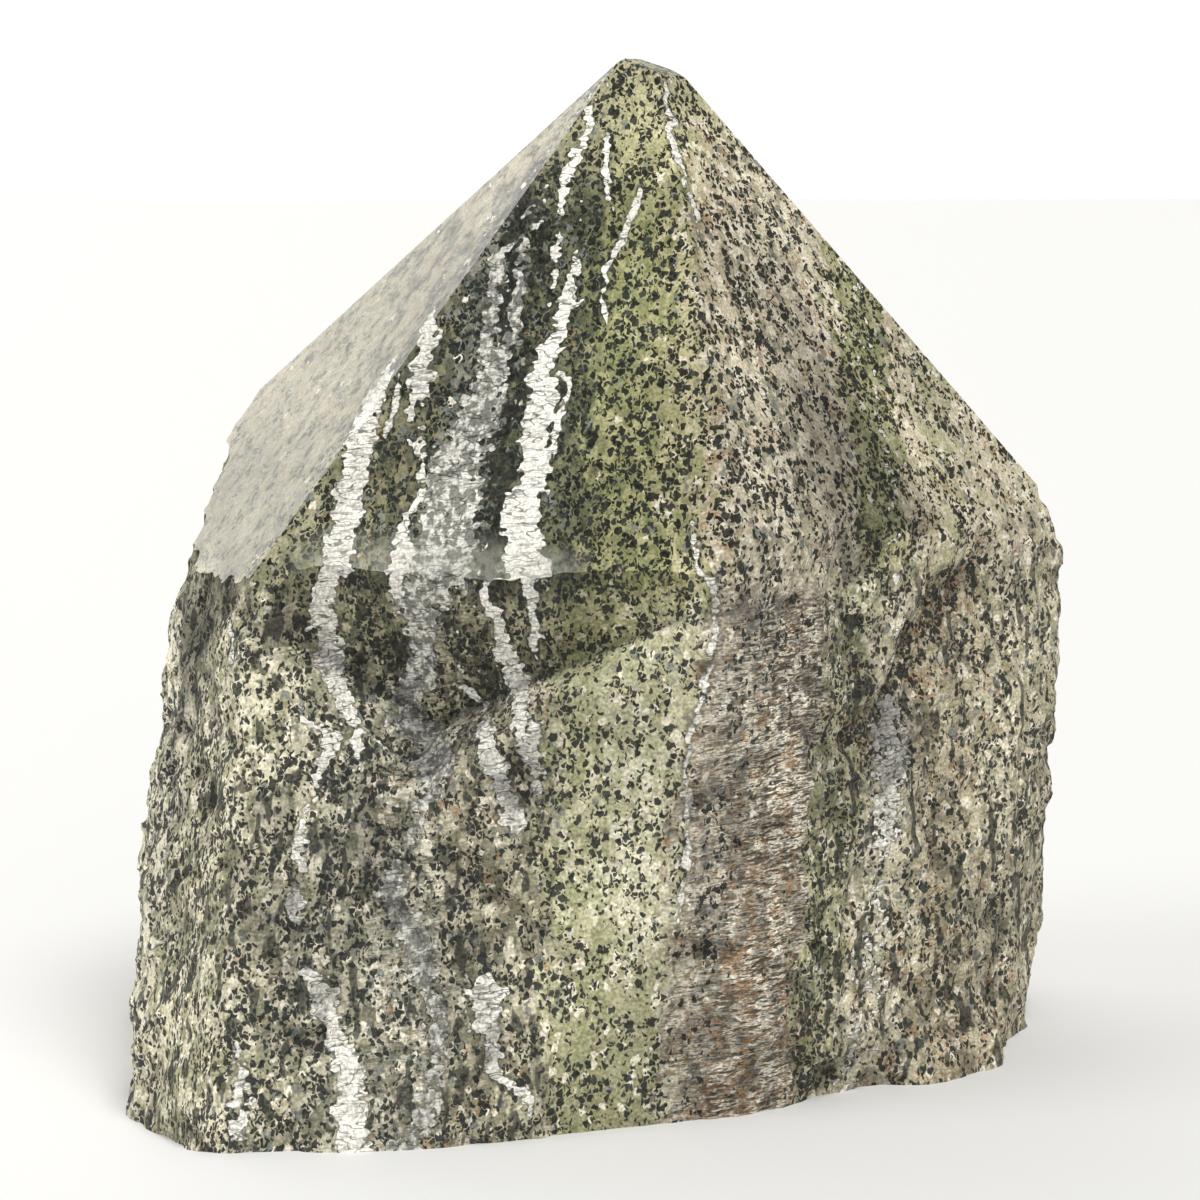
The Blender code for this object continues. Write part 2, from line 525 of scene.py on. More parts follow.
    def dress(self, stone: bmesh.types.BMesh) -> bpy.types.Object:
        """Turn the shaped stone into a shown piece.

        Args:
            stone: The shaped stone in millimetres.

        Returns:
            The piece's object.
        """
        kind = stone.faces.layers.int["kind"]
        for face in stone.faces:
            flat = any(face.normal.dot(facet.normal) > SAME_WAY for facet in self.facets)
            ground = face[kind] == Surface.GROUND.value
            face.smooth = face[kind] != Surface.SAWN.value and not (ground and flat)
        for edge in stone.edges:
            kinds = {face[kind] for face in edge.link_faces}
            if len(kinds) > 1:
                edge.smooth = False
        grounds = [float(face[kind] == Surface.GROUND.value) for face in stone.faces]
        bmesh.ops.scale(stone, vec=(METRES, METRES, METRES), verts=stone.verts[:])
        mesh = bpy.data.meshes.new("banded_stone_point")
        stone.to_mesh(mesh)
        stone.free()
        polish = mesh.attributes.new("polish", "FLOAT", "FACE")
        polish.data.foreach_set("value", grounds)
        mesh.materials.append(BandedStone(self.fan).material())
        piece = bpy.data.objects.new("banded_stone_point", mesh)
        bpy.context.scene.collection.objects.link(piece)
        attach(piece, "root")
        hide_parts("stone")
        return piece


@dataclass(frozen=True)
class Grain:
    """One cloudy noise: its grain size along X, Y and Z, its own offset, and its finer layers."""

    size: Triple
    seed: float
    layers: float = 0.0
    roughness: float = 0.5


class Sheet:
    """The shader nodes of a material or world, with short calls for the nodes that it uses most."""

    def __init__(self, holder: bpy.types.ID) -> None:
        """Start with no nodes.

        Args:
            holder: The material or world that the nodes belong to.
        """
        holder.use_nodes = True
        self.tree = holder.node_tree
        self.tree.nodes.clear()

    def add(self, kind: str, **settings: object) -> bpy.types.Node:
        """Add a node and set its properties.

        Args:
            kind: The node's type, without the common prefix.
            **settings: Property names and values.

        Returns:
            The new node.
        """
        node = self.tree.nodes.new("ShaderNode" + kind)
        for name, value in settings.items():
            setattr(node, name, value)
        return node

    def feed(self, socket: Socket, value: Value) -> None:
        """Link or set one input.

        Args:
            socket: The input.
            value: An output to link, or a plain value.
        """
        if isinstance(value, bpy.types.NodeSocket):
            self.tree.links.new(value, socket)
        elif socket.type == "RGBA" and len(value) == 3:
            socket.default_value = (*value, 1.0)
        else:
            socket.default_value = value

    def fill(self, node: bpy.types.Node, values: Iterable[Value], places: Iterable[int]) -> Socket:
        """Feed some of a node's inputs and return its first output.

        Args:
            node: The node.
            values: What to feed.
            places: The input that each value goes to.

        Returns:
            The node's first output.
        """
        for place, value in zip(places, values):
            self.feed(node.inputs[place], value)
        return node.outputs[0]

    def calc(self, operation: str, *values: Value, clamp: bool = False) -> Socket:
        """Return the result of a sum on numbers.

        Args:
            operation: The Math node's operation.
            *values: One to three operands.
            clamp: Whether the result stays between 0 and 1.

        Returns:
            The result's socket.
        """
        return self.fill(self.add("Math", operation=operation, use_clamp=clamp), values, range(3))

    def times(self, *values: Value) -> Socket:
        """Return the product of two or more numbers."""
        return reduce(lambda product, value: self.calc("MULTIPLY", product, value), values)

    def tune(self, value: Value, gain: Value, offset: Value, clamp: bool = False) -> Socket:
        """Return a number times a gain plus an offset, kept between 0 and 1 if clamp is set."""
        return self.calc("MULTIPLY_ADD", value, gain, offset, clamp=clamp)

    def vector(self, operation: str, *values: Value) -> Socket:
        """Return the result of a sum on vectors.

        Args:
            operation: The Vector Math node's operation.
            *values: One to three operands.

        Returns:
            The result's socket.
        """
        node = self.add("VectorMath", operation=operation)
        self.fill(node, values, range(3))
        return node.outputs["Value" if operation == "DOT_PRODUCT" else "Vector"]

    def join(self, *values: Value) -> Socket:
        """Return a vector made of three numbers."""
        return self.fill(self.add("CombineXYZ"), values, range(3))

    def split(self, kind: str, value: Value) -> Sequence[Socket]:
        """Return the three numbers of a vector, kind XYZ, or of a colour, kind Color."""
        node = self.add("Separate" + kind)
        self.feed(node.inputs[0], value)
        return node.outputs

    def attribute(self, name: str) -> Socket:
        """Return a number that the mesh carries."""
        return self.add("Attribute", attribute_name=name).outputs["Fac"]

    def rise(self, value: Value, low: Value, high: Value, start: float = 0.0, end: float = 1.0) -> Socket:
        """Return a smooth step of a number.

        Args:
            value: The number.
            low: Where the step starts.
            high: Where it ends.
            start: The result below the step.
            end: The result above it.

        Returns:
            The step's socket.
        """
        node = self.add("MapRange", interpolation_type="SMOOTHSTEP")
        return self.fill(node, (value, low, high, start, end), range(5))

    def texture(self, kind: str, place: Socket, size: Triple, offset: Triple) -> bpy.types.Node:
        """Return the node of a texture.

        Args:
            kind: The node's type, without the common prefix.
            place: The position in millimetres.
            size: Size of its grains along X, Y and Z.
            offset: How far it is moved, in grains.

        Returns:
            The node.
        """
        node = self.add(kind)
        inverse = tuple(1.0 / length for length in size)
        self.feed(node.inputs["Vector"], self.vector("MULTIPLY_ADD", place, inverse, offset))
        node.inputs["Scale"].default_value = 1.0
        return node

    def cloud(self, place: Socket, grain: Grain) -> bpy.types.Node:
        """Return the node of a cloudy noise, which gives a number and a colour."""
        seed = grain.seed
        node = self.texture("TexNoise", place, grain.size, (seed, seed * 1.7 + 3.1, seed * 0.6 + 7.7))
        node.inputs["Detail"].default_value = grain.layers
        node.inputs["Roughness"].default_value = grain.roughness
        return node

    def grain(self, place: Socket, grain: Grain) -> Socket:
        """Return a cloudy noise from 0 to 1 at a place in millimetres."""
        return self.cloud(place, grain).outputs[0]

    def crest(self, place: Socket, grain: Grain) -> Socket:
        """Return how far a cloudy noise is from its middle, which is least along thin lines."""
        return self.calc("ABSOLUTE", self.calc("SUBTRACT", self.grain(place, grain), 0.5))

    def stir(self, place: Socket, grain: Grain, amount: float, start: Socket) -> Socket:
        """Return a position moved about by a noise.

        Args:
            place: Where the noise is read, in millimetres.
            grain: The noise.
            amount: How strongly it moves.
            start: The position that is moved.

        Returns:
            The moved position.
        """
        centred = self.vector("SUBTRACT", self.cloud(place, grain).outputs[1], (0.5,) * 3)
        return self.vector("MULTIPLY_ADD", centred, (amount,) * 3, start)

    def crystals(self, place: Socket, grain: Grain) -> tuple[Socket, ...]:
        """Return a field of crystals.

        Args:
            place: The position in millimetres.
            grain: Their spacing and the field's own offset.

        Returns:
            The distance to the nearest crystal's middle, and that crystal's three random numbers.
        """
        seed = grain.seed
        node = self.texture("TexVoronoi", place, grain.size, (seed, seed * 1.3 + 5.9, seed * 0.4 + 2.3))
        return (node.outputs["Distance"], *self.split("Color", node.outputs["Color"]))

    def blend(self, factor: Value, first: Value, second: Value) -> Socket:
        """Return a mix of two numbers."""
        node = self.add("Mix", data_type="FLOAT", clamp_factor=True)
        return self.fill(node, (factor, first, second), (0, 2, 3))

    def mix(self, factor: Value, first: Value, second: Value) -> Socket:
        """Return a mix of two colours, of which factor is the share of the second."""
        node = self.add("Mix", data_type="RGBA", clamp_factor=True)
        self.fill(node, (factor, first, second), (0, 6, 7))
        return node.outputs[2]

    def scale(self, tint: Socket, factor: Value) -> Socket:
        """Return a colour made lighter or darker by a factor."""
        return self.vector("MULTIPLY", tint, self.join(factor, factor, factor))

    def bump(self, strength: Value, height: Socket, depth_m: float, below: Socket | None = None) -> Socket:
        """Return a normal tipped by a relief.

        Args:
            strength: How much of the relief shows.
            height: The relief, from 0 to 1.
            depth_m: Its depth in metres.
            below: A normal that is already tipped.

        Returns:
            The normal.
        """
        node = self.add("Bump")
        node.inputs["Distance"].default_value = depth_m
        self.feed(node.inputs["Strength"], strength)
        self.feed(node.inputs["Height"], height)
        if below is not None:
            self.feed(node.inputs["Normal"], below)
        return node.outputs[0]

    def finish(self, shader: bpy.types.Node, kind: str = "OutputMaterial") -> None:
        """Show a shader on the surface.

        Args:
            shader: The shader's node.
            kind: The type of the output node.
        """
        self.feed(self.add(kind).inputs["Surface"], shader.outputs[0])

    def line(self, value: Socket, points: Sequence[tuple[float, float]]) -> Socket:
        """Return a value read off a smooth line through points.

        Args:
            value: Where along the line to read.
            points: Pairs of place and value, in order of place.

        Returns:
            The value at that place.
        """
        places = [place for place, _ in points]
        values = [level for _, level in points]
        low, high = min(values), max(values)
        reach = 1.0 / (places[-1] - places[0])
        curve = self.add("FloatCurve")
        self.feed(curve.inputs["Value"], self.tune(value, reach, -places[0] * reach, clamp=True))
        knots = curve.mapping.curves[0].points
        scaled = [
            ((place - places[0]) / (places[-1] - places[0]), (level - low) / (high - low))
            for place, level in points
        ]
        knots[0].location = scaled[0]
        knots[1].location = scaled[-1]
        for place, level in scaled[1:-1]:
            knots.new(place, level)
        for knot in knots:
            knot.handle_type = "AUTO_CLAMPED"
        curve.mapping.update()
        return self.tune(curve.outputs[0], high - low, low)

    def ramp(self, value: Socket, stops: Sequence[tuple[float, Sequence[float]]]) -> tuple[Socket, Socket]:
        """Return the colour and alpha of a ramp.

        Args:
            value: Where along the ramp to read, from 0 to 1.
            stops: Pairs of place and colour, in order, at most 32.

        Returns:
            The colour and the alpha.
        """
        node = self.add("ValToRGB")
        self.feed(node.inputs[0], value)
        elements = node.color_ramp.elements
        while len(elements) < len(stops):
            elements.new(0.5)
        for element, (place, _) in zip(elements, stops):
            element.position = place
        for element, (_, tint) in zip(elements, stops):
            element.color = tint if len(tint) == 4 else (*tint, 1.0)
        return node.outputs[0], node.outputs[1]


@dataclass(frozen=True)
class Band:
    """One layer of the stone: where it ends, its two tones, and its share of each mineral."""

    end: float
    ground: Tone
    patch: Tone
    dark: float
    slate: float
    pale: float
    rust: float
    fibre: float = 0.0


# The two leftmost bands of the point lie on the left facet, and their tones are partly painted paler to
# stand in for the reflected haze on it
POINT_BANDS = (
    Band(-46.0, (156, 153, 126), (182, 177, 150), 0.18, 0.14, 0.03, 0.03),
    Band(-31.0, (140, 139, 110), (170, 166, 136), 0.24, 0.14, 0.03, 0.04),
    Band(-26.0, (122, 122, 94), (158, 155, 124), 0.34, 0.12, 0.02, 0.08),
    Band(-18.5, (96, 97, 76), (128, 126, 98), 0.40, 0.20, 0.02, 0.14),
    Band(-13.2, (94, 95, 84), (138, 137, 122), 0.38, 0.30, 0.10, 0.05),
    Band(-9.6, (36, 38, 31), (58, 59, 47), 0.80, 0.06, 0.02, 0.06),
    Band(-4.5, (78, 81, 62), (110, 111, 86), 0.44, 0.14, 0.02, 0.10),
    Band(-1.0, (92, 95, 69), (120, 120, 88), 0.50, 0.12, 0.01, 0.03),
    Band(5.5, (134, 136, 94), (162, 161, 118), 0.40, 0.04, 0.02, 0.02),
    Band(9.3, (160, 158, 116), (190, 184, 144), 0.28, 0.06, 0.08, 0.06),
    Band(12.6, (196, 182, 156), (216, 206, 182), 0.16, 0.12, 0.15, 0.38),
    Band(20.0, (164, 158, 134), (212, 202, 176), 0.27, 0.24, 0.24, 0.18),
    Band(26.6, (196, 187, 162), (220, 210, 186), 0.15, 0.18, 0.20, 0.26),
    Band(34.6, (150, 151, 110), (176, 173, 134), 0.44, 0.05, 0.05, 0.03),
    Band(38.2, (196, 185, 158), (212, 202, 176), 0.10, 0.06, 0.15, 0.14),
    Band(44.0, (176, 173, 138), (198, 192, 162), 0.26, 0.08, 0.08, 0.10),
    Band(60.0, (192, 184, 156), (214, 204, 178), 0.16, 0.12, 0.15, 0.18),
)
BODY_BANDS = (
    Band(-46.0, (182, 179, 152), (228, 222, 198), 0.26, 0.12, 0.20, 0.05),
    Band(-31.0, (168, 166, 134), (214, 208, 180), 0.30, 0.12, 0.18, 0.06),
    Band(-27.0, (154, 152, 126), (202, 196, 170), 0.34, 0.18, 0.18, 0.10),
    Band(-21.0, (132, 132, 108), (188, 184, 160), 0.36, 0.24, 0.14, 0.08, 0.10),
    Band(-14.5, (138, 137, 116), (198, 194, 172), 0.34, 0.26, 0.18, 0.10, 0.35),
    Band(-9.0, (130, 128, 104), (182, 176, 150), 0.34, 0.16, 0.10, 0.15, 0.10),
    Band(-4.5, (152, 149, 122), (204, 198, 170), 0.28, 0.12, 0.14, 0.12, 0.10),
    Band(0.5, (168, 168, 128), (206, 203, 166), 0.26, 0.05, 0.10, 0.04),
    Band(9.6, (190, 188, 152), (222, 218, 188), 0.23, 0.04, 0.10, 0.02),
    Band(13.0, (190, 176, 154), (216, 206, 184), 0.16, 0.14, 0.14, 0.30, 0.60),
    Band(16.4, (110, 108, 96), (166, 160, 144), 0.40, 0.28, 0.10, 0.12, 0.55),
    Band(23.6, (194, 180, 156), (222, 211, 188), 0.14, 0.14, 0.12, 0.30, 0.90),
    Band(29.0, (144, 145, 111), (188, 184, 150), 0.38, 0.12, 0.12, 0.06),
    Band(34.0, (164, 160, 134), (208, 200, 174), 0.26, 0.16, 0.18, 0.14, 0.10),
    Band(45.0, (160, 152, 124), (202, 192, 162), 0.26, 0.20, 0.12, 0.16, 0.15),
    Band(60.0, (164, 160, 132), (204, 196, 168), 0.26, 0.14, 0.14, 0.12, 0.10),
)


@dataclass(frozen=True)
class Vein:
    """A chain of pale vein pieces down the stone.

    Its path gives the height, the band coordinate and the half width, which is below zero where
    the chain is broken.
    """

    path: tuple[tuple[float, float, float], ...]
    white: bool = True
    ragged: float = 0.45


GAP = -0.4

VEINS = (
    # The grey fibrous vein left of the middle, and the thin one beside its upper end
    Vein(
        (
            (0.0, -16.8, 1.1), (7.9, -14.6, 0.6), (13.1, -15.5, 0.7), (19.6, -18.1, 1.5),
            (23.9, -19.4, 0.7), (27.7, -18.1, 0.3), (32.5, -16.4, 0.7), (35.3, -16.6, 2.3),
            (38.2, -20.8, 1.5), (41.3, -19.9, 2.1), (45.3, -18.7, 1.5), (49.4, -18.6, 2.6),
            (52.4, -16.4, 3.4), (59.3, -16.3, 3.1), (65.7, -14.9, 2.3), (69.0, -14.0, 1.9),
            (71.7, -12.6, 0.9), (77.3, -10.8, 0.8), (80.0, -11.3, 0.8), (83.0, -11.0, GAP),
        ),
        False, 0.7,
    ),
    Vein(
        (
            (60.5, -12.5, GAP), (64.0, -12.4, 0.3), (67.0, -12.0, 0.6), (69.5, -12.4, 0.5),
            (72.3, -14.5, 0.8), (75.0, -14.1, 0.8), (80.3, -13.8, 0.6), (81.9, -12.2, 0.4),
            (83.1, -10.5, 0.4), (85.0, -9.2, GAP),
        ),
        False, 0.5,
    ),
    # The left white vein, and its foot
    Vein(
        (
            (0.0, -21.3, 1.2), (6.8, -22.5, 1.3), (9.6, -23.8, 1.1), (15.4, -26.2, 1.0), (17.0, -26.9, GAP),
            (33.5, -23.8, GAP), (35.5, -24.2, 0.3), (39.7, -26.5, 0.7), (44.5, -29.3, 1.2),
            (48.0, -29.6, 1.4), (51.0, -28.6, 1.5), (52.6, -27.4, 1.6), (59.0, -27.5, 1.6),
            (65.6, -27.4, 1.5), (68.4, -26.5, 1.0), (71.5, -25.8, GAP),
        ),
    ),
    Vein(
        (
            (0.0, -31.1, 0.2), (4.7, -31.4, 0.4), (8.2, -32.2, 0.3), (10.5, -32.6, GAP), (18.5, -28.2, GAP),
            (21.7, -28.7, 0.6), (24.0, -28.8, 0.3), (26.1, -28.9, 0.9), (28.5, -28.6, 0.4),
            (31.1, -28.0, 0.1), (33.7, -27.6, 0.5), (37.0, -26.8, 0.7), (38.2, -29.1, 0.4),
            (40.5, -29.5, GAP), (48.0, -21.2, GAP), (50.3, -20.9, 0.8), (52.8, -20.7, 0.9),
            (56.0, -20.7, 0.6), (59.2, -19.8, 0.3), (64.7, -20.9, 0.3), (67.0, -21.9, 0.6),
            (71.1, -21.9, 1.1), (75.6, -21.6, 0.3), (77.5, -21.9, GAP),
        ),
    ),
    # The main white vein of the front facet, which goes on down the body
    Vein(
        (
            (30.5, -5.6, GAP), (33.9, -6.2, 0.6), (37.3, -7.0, 0.9), (39.9, -7.9, 1.1), (42.7, -9.1, 1.3),
            (46.6, -10.4, 0.9), (50.1, -11.3, 0.4), (51.6, -11.5, 0.3), (52.3, -7.4, 1.9),
            (54.7, -7.9, 2.0), (57.9, -8.3, 1.8), (61.1, -7.5, 1.6), (64.3, -7.5, 1.3), (67.5, -7.4, 1.5),
            (70.8, -7.3, 1.3), (73.1, -6.3, 0.9), (75.0, -5.7, 0.9), (79.8, -4.8, 0.3), (82.0, -4.6, GAP),
        ),
    ),
    Vein(
        (
            (2.0, -6.0, GAP), (4.1, -6.8, 0.6), (7.7, -9.9, 0.8), (10.1, -10.2, 1.1), (14.0, -10.5, 1.3),
            (16.0, -10.8, GAP), (26.5, -7.9, GAP), (29.8, -8.2, 0.9), (33.1, -9.4, 0.9), (36.1, -10.4, 1.0),
            (38.5, -11.7, 0.5), (41.2, -14.3, 0.3), (46.6, -15.0, GAP), (75.5, -7.5, GAP),
            (80.3, -7.1, 0.5), (84.1, -7.1, 0.2), (88.1, -7.2, 0.8), (90.2, -5.2, 0.5), (93.7, -4.1, 0.4),
            (96.5, -3.6, GAP),
        ),
    ),
    # Thin white threads
    Vein(
        (
            (43.0, -6.6, GAP), (46.0, -6.7, 0.3), (49.8, -6.8, 0.6), (52.2, -6.9, 0.8), (54.0, -6.5, GAP),
            (61.0, -6.1, GAP), (63.1, -5.7, 0.2), (67.5, -4.9, 0.3), (70.2, -5.3, 0.3), (71.2, -5.8, GAP),
            (72.0, -0.2, GAP), (75.8, -0.9, 0.2), (78.7, -1.2, 0.3), (81.4, -0.2, 0.5), (84.5, 1.2, 0.5),
            (88.2, 3.2, GAP),
        ),
        True, 0.2,
    ),
    Vein(
        (
            (19.0, 10.9, GAP), (27.3, 10.8, 0.3), (37.4, 10.0, 0.2), (44.8, 10.9, 0.2), (50.4, 10.6, 0.3),
            (54.8, 8.6, 0.3), (60.5, 8.3, GAP), (77.0, 9.7, GAP), (83.4, 9.3, 0.15), (88.1, 7.9, 0.3),
            (92.9, 6.3, 0.35), (97.0, 5.2, 0.1), (99.0, 5.0, GAP),
        ),
        True, 0.3,
    ),
    Vein(
        (
            (42.0, -39.0, GAP), (45.2, -38.5, 0.5), (48.5, -40.6, GAP), (62.0, -25.0, GAP),
            (66.8, -24.3, 0.5), (70.5, -23.9, GAP), (84.0, -0.9, GAP), (87.2, -1.8, 0.4), (91.6, -1.8, 0.3),
            (93.0, -1.9, GAP),
        ),
        True, 0.3,
    ),
    Vein(
        (
            (22.0, 31.2, GAP), (25.0, 31.5, 0.6), (28.4, 31.8, 1.2), (33.1, 32.0, 1.5), (36.5, 31.9, 0.9),
            (38.5, 31.9, GAP),
        ),
        True, 0.9,
    ),
)


@dataclass(frozen=True)
class Spot:
    """Where a point of the stone lies: places in millimetres, and shares from 0 to 1."""

    place: Socket
    across: Socket
    along: Socket
    up: Socket
    thread: Socket
    band: Socket
    height: Socket
    body: Socket
    polish: Socket
    hollow: Socket
    crown: Socket
    stain_and_shade: Socket


@dataclass(frozen=True)
class Makeup:
    """What the bands hold at a point: two tones, the share of each mineral, and how fibrous it is."""

    ground: Socket
    patch: Socket
    dark: Socket
    slate: Socket
    pale: Socket
    rust: Socket
    fibre: Socket
    free: Socket


@dataclass(frozen=True)
class BandedStone:
    """The stone's finish: banded ground, crystals, rust, fibres and veins, polished or broken."""

    fan: BandFan
    reach: float = 60.0
    narrow: float = 3.55
    edge: float = 0.7
    black: Colour = colour(27, 30, 26)
    soot: Colour = colour(54, 58, 52)
    slate: Colour = colour(116, 121, 117)
    rust: Colour = colour(158, 122, 84)
    cream: Colour = colour(238, 230, 208)
    white: Colour = colour(240, 237, 226)
    ash: Colour = colour(112, 113, 106)
    crack: Colour = colour(50, 52, 45)
    # Near-black of the painted shade in the clefts
    cleft_shade: Colour = colour(44, 46, 38)
    moss: Colour = colour(152, 151, 114)
    # Pale tone of the painted reflected haze on the left facet
    painted_haze: Colour = colour(168, 160, 134)
    straw: Colour = colour(206, 200, 164)
    # Grey of the painted sheen along the front facet's lower edge
    painted_sheen: Colour = colour(180, 180, 168)
    fibre_tones: tuple[tuple[float, Colour], ...] = (
        (0.395, colour(38, 41, 37)),
        (0.435, colour(88, 88, 77)),
        (0.46, colour(152, 124, 90)),
        (0.485, colour(196, 176, 144)),
        (0.51, colour(238, 230, 208)),
        (0.55, colour(248, 245, 234)),
        (0.59, colour(158, 158, 146)),
        (0.63, colour(90, 93, 85)),
    )
    # Noises that move the bands' edges
    bends: Grain = Grain((9.0, 9.0, 9.0), 1.3)
    steps: Grain = Grain((2.0, 2.0, 2.0), 5.9)
    jitter: Grain = Grain((0.9, 0.9, 0.9), 2.1, 1.0, 0.6)
    wisps: Grain = Grain((1.5, 1.5, 9.0), 27.3, 1.0)
    # Noises of the ground, the rust and the fibres
    clouds: Grain = Grain((1.7, 2.6, 3.8), 8.3, 2.0, 0.68)
    rusting: Grain = Grain((3.2, 3.2, 5.0), 40.3, 1.0, 0.6)
    seams: Grain = Grain((1.6, 1.9, 0.9), 6.4, 1.0, 0.6)
    fibres: Grain = Grain((1.7, 2.0, 0.38), 4.7, 2.0, 0.7)
    bruises: Grain = Grain((2.0, 2.6, 3.2), 33.1, 1.0, 0.6)
    clefts: Grain = Grain((1.3, 1.6, 4.2), 50.9, 1.0, 0.68)
    # Crystals, each size of black speck with its share, and the noises that shape them
    tremble: Grain = Grain((0.45, 0.7, 0.55), 9.7)
    drift: Grain = Grain((1.7, 1.7, 3.6), 17.3)
    crystals: Grain = Grain((0.75, 1.2, 1.05), 21.7)
    specks: tuple[tuple[Grain, float], ...] = (
        (Grain((0.6, 0.96, 0.78), 3.3), 2.2),
        (Grain((0.36, 0.576, 0.468), 12.1), 1.3),
    )
    # Noises of the veins
    fray: Grain = Grain((1.1, 1.4, 0.9), 7.1, 1.0, 0.7)
    cross: Grain = Grain((1.5, 1.5, 0.28), 10.9, 1.0, 0.6)
    mottle: Grain = Grain((0.9, 0.9, 1.4), 14.3, 2.0, 0.65)
    breaks: Grain = Grain((2.2, 2.4, 0.8), 2.9, 1.0)
    net: Grain = Grain((0.9, 0.9, 2.0), 18.9, 1.0)
    # Noises of the whole surface
    slow: Grain = Grain((14.0, 14.0, 14.0), 0.7)
    fine: Grain = Grain((0.28, 0.28, 0.28), 11.9)
    smears: Grain = Grain((1.1, 1.1, 1.1), 13.7)
    grit: Grain = Grain((0.75, 0.9, 0.75), 15.1, 1.0, 0.7)
    ridges: Grain = Grain((1.7, 2.0, 0.38), 4.7)
    # How deep the fine relief is, in metres
    grit_depth_m: float = 0.0009
    ridge_depth_m: float = 0.0006
    refraction: float = 1.54
    broken_roughness: float = 0.85

    def band_stops(self, bands: Sequence[Band], part: str) -> list[tuple[float, tuple[float, ...]]]:
        """Return the ramp stops for one property of a run of bands.

        Args:
            bands: The bands from left to right.
            part: ground, patch or minerals.

        Returns:
            Pairs of ramp place and colour.
        """
        stops = []
        start = -self.reach
        for band in bands:
            tint = {
                "ground": colour(*band.ground),
                "patch": (*colour(*band.patch), band.fibre),
                "minerals": (band.dark, band.slate, band.pale, band.rust),
            }[part]
            width = band.end - start
            edge = min(self.edge, width * 0.3)
            narrow = width < self.narrow
            for place in ((start + band.end) / 2.0,) if narrow else (start + edge, band.end - edge):
                stops.append(((place + self.reach) / (2.0 * self.reach), tint))
            start = band.end
        return stops

    def find_spot(self, sheet: Sheet) -> Spot:
        """Return where a point lies in the stone, among bands that wander a little.

        Args:
            sheet: The material's nodes.

        Returns:
            The point's places and shares.
        """
        fan = self.fan
        seat = sheet.add("TexCoord").outputs["Object"]
        place = sheet.vector("MULTIPLY", seat, (PER_METRE,) * 3)
        stirred = sheet.stir(place, self.steps, 1.2, sheet.stir(place, self.bends, 0.9, place))
        across, along, height = sheet.split("XYZ", stirred)
        depth = sheet.calc("DIVIDE", sheet.calc("SUBTRACT", along, fan.front), fan.softness)
        depth = sheet.times(sheet.calc("TANH", depth), fan.softness)
        shifted = sheet.calc("SUBTRACT", across, sheet.times(depth, fan.shift))
        band = sheet.calc("DIVIDE", shifted, sheet.tune(depth, fan.spread, 1.0))
        drop = sheet.calc("MAXIMUM", sheet.calc("SUBTRACT", fan.brow, height), 0.0)
        window = sheet.times(sheet.rise(band, 0.0, 8.0), sheet.rise(band, 24.0, 34.0, 1.0, 0.0))
        band = sheet.calc("ADD", band, sheet.times(drop, fan.slope, window))
        across, along, up = sheet.split("XYZ", place)
        thread = sheet.join(across, along, sheet.tune(across, -0.07, up))
        body = sheet.rise(height, 48.0, 52.5, 1.0, 0.0)
        marks = [sheet.attribute(name) for name in ("polish", "hollow", "crown", "stain_and_shade")]
        return Spot(place, across, along, up, thread, band, height, body, *marks)

    def find_makeup(self, sheet: Sheet, spot: Spot) -> Makeup:
        """Return what the bands of the point and of the body hold at a point.

        Args:
            sheet: The material's nodes.
            spot: The point.

        Returns:
            The tones and the minerals.
        """
        band, height = spot.band, spot.height
        loose = sheet.calc("ADD", band, sheet.tune(sheet.grain(spot.place, self.jitter), 5.0, -2.5))
        loose = sheet.calc("ADD", loose, sheet.tune(sheet.grain(spot.place, self.wisps), 9.0, -4.5))
        along = sheet.tune(loose, 0.5 / self.reach, 0.5)
        tints, spares = {}, {}
        for part in ("ground", "patch", "minerals"):
            point_tint, point_spare = sheet.ramp(along, self.band_stops(POINT_BANDS, part))
            body_tint, body_spare = sheet.ramp(along, self.band_stops(BODY_BANDS, part))
            tints[part] = sheet.mix(spot.body, point_tint, body_tint)
            spares[part] = sheet.blend(spot.body, point_spare, body_spare)
        dark, slate, pale = sheet.split("Color", tints["minerals"])
        rust, fibre = spares["minerals"], spares["patch"]

        # Crystals keep clear of the fibres. A dark belt crosses the left side.
        free = sheet.tune(fibre, -1.05, 1.0, clamp=True)
        belt = sheet.line(height, ((18.0, 0.0), (25.0, 1.0), (31.0, 1.0), (38.0, 0.0)))
        belt = sheet.times(belt, sheet.rise(band, -38.0, -34.0, 1.0, 0.0))
        dark = sheet.times(sheet.tune(belt, 0.14, dark), free)
        dark = sheet.tune(spot.stain_and_shade, 0.3, sheet.tune(spot.crown, 0.1, dark))

        # Rust lies in patches, and more of it at the foot and in the stained recess.
        foot = sheet.times(sheet.rise(height, 3.0, 16.0, 1.0, 0.0), sheet.rise(band, 8.0, 14.0))
        rusting = sheet.rise(sheet.grain(spot.place, self.rusting), 0.42, 0.62, 0.3, 1.9)
        rust = sheet.tune(foot, 0.18, sheet.times(rust, rusting))
        rust = sheet.tune(spot.stain_and_shade, 0.5, sheet.times(rust, sheet.tune(spot.crown, -0.4, 1.0)))
        slate, pale = sheet.times(slate, free), sheet.times(pale, free)
        return Makeup(tints["ground"], tints["patch"], dark, slate, pale, rust, fibre, free)

